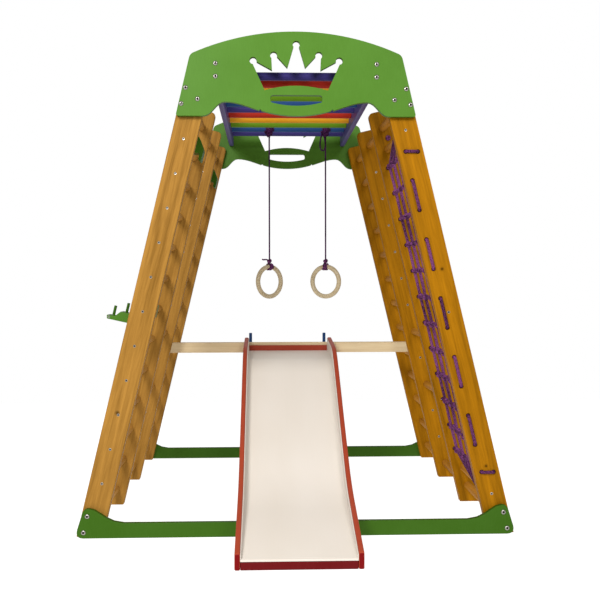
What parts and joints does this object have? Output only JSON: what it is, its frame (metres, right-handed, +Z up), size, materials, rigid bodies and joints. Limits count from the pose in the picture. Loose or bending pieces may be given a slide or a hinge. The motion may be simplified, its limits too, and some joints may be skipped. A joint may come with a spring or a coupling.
{
  "type": "climbing frame with slide",
  "caption": "Toddler's wooden climbing frame: leaning ladder sides, overhead rainbow ladder, rope net, hanging rings and a slide on a cross beam.",
  "frame": {"origin": "floor level, at the middle of the whole object's footprint", "axes": "+X across the frame to the right seen from the slide's foot, +Y from the slide's foot to the back, +Z up"},
  "size_m": [1.316, 1.5776, 1.5],
  "materials": {
    "stained_pine": "stained and varnished pine, satin",
    "green_paint": "painted plywood, satin",
    "dark_green_paint": "painted plywood, satin",
    "violet_paint": "painted pine, satin",
    "purple_paint": "painted dowel, satin",
    "red_paint": "painted dowel, satin",
    "yellow_paint": "painted dowel, satin",
    "light_green_paint": "painted dowel, satin",
    "blue_paint": "painted dowel, satin",
    "slide_red": "painted plywood, satin",
    "dark_red": "painted pine, satin",
    "white_bed": "smooth cream lacquered board, glossy",
    "pale_wood": "clear lacquered pine",
    "ring_wood": "clear lacquered beech",
    "bracket_blue": "painted plywood, satin",
    "rope": "braided polypropylene rope"
  },
  "bodies": {
    "root": {"left_front_post": "stained_pine", "left_second_post": "stained_pine", "left_third_post": "stained_pine", "left_rear_post": "stained_pine", "right_front_post": "stained_pine", "right_second_post": "stained_pine", "right_third_post": "stained_pine", "right_rear_post": "stained_pine", "left_front_rung_01": "stained_pine", "left_front_rung_02": "stained_pine", "left_front_rung_03": "stained_pine", "left_front_rung_04": "stained_pine", "left_front_rung_05": "stained_pine", "left_front_rung_06": "stained_pine", "left_front_rung_07": "stained_pine", "left_front_rung_08": "stained_pine", "left_front_rung_09": "stained_pine", "left_front_rung_10": "stained_pine", "left_front_rung_11": "stained_pine", "left_front_rung_12": "stained_pine", "left_front_rung_13": "stained_pine", "right_front_rung_01": "stained_pine", "right_front_rung_02": "stained_pine", "right_front_rung_03": "stained_pine", "right_front_rung_04": "stained_pine", "front_crown_panel": "green_paint", "front_base_rail": "dark_green_paint", "rear_crown_panel": "green_paint", "rear_base_rail": "dark_green_paint", "monkey_bar_left_rail": "violet_paint", "monkey_bar_right_rail": "violet_paint", "coloured_rung_01": "purple_paint", "coloured_rung_02": "red_paint", "coloured_rung_03": "yellow_paint", "coloured_rung_04": "light_green_paint", "coloured_rung_05": "blue_paint", "coloured_rung_06": "purple_paint", "coloured_rung_07": "red_paint", "coloured_rung_08": "yellow_paint", "coloured_rung_09": "light_green_paint", "coloured_rung_10": "blue_paint", "coloured_rung_11": "purple_paint", "climbing_net": "rope", "front_post_lacing": "rope", "peg_shelf": "green_paint", "front_rung_hook": "dark_green_paint", "rear_rung_hook": "dark_green_paint"},
    "slide": {"slide_left_side": "slide_red", "slide_right_side": "slide_red", "slide_bed": "white_bed", "slide_front_crosspiece": "dark_red", "slide_top_crosspiece": "slide_red", "slide_left_bracket": "bracket_blue", "slide_right_bracket": "bracket_blue", "cross_beam": "pale_wood"},
    "left_rope": {"left_ring_rope": "rope"},
    "right_rope": {"right_ring_rope": "rope"},
    "left_ring": {"left_ring": "ring_wood"},
    "right_ring": {"right_ring": "ring_wood"}
  },
  "joints": [
    {"name": "slide_tilt", "type": "hinge", "parent": "root", "child": "slide", "pos_m": [0, 0.5062, 0.4796], "axis": [-1, 0, 0], "range_deg": [0, 30]},
    {"name": "left_rope_swing", "type": "hinge", "parent": "root", "child": "left_rope", "pos_m": [-0.077, 0.5597, 1.386], "axis": [1, 0, 0], "range_deg": [-40, 40]},
    {"name": "left_ring_turn", "type": "hinge", "parent": "left_rope", "child": "left_ring", "pos_m": [-0.077, 0.5597, 0.763], "axis": [0, 0, 1], "range_deg": [-90, 90]},
    {"name": "right_rope_swing", "type": "hinge", "parent": "root", "child": "right_rope", "pos_m": [0.153, 0.5597, 1.386], "axis": [1, 0, 0], "range_deg": [-40, 40]},
    {"name": "right_ring_turn", "type": "hinge", "parent": "right_rope", "child": "right_ring", "pos_m": [0.153, 0.5597, 0.763], "axis": [0, 0, 1], "range_deg": [-90, 90]}
  ]
}
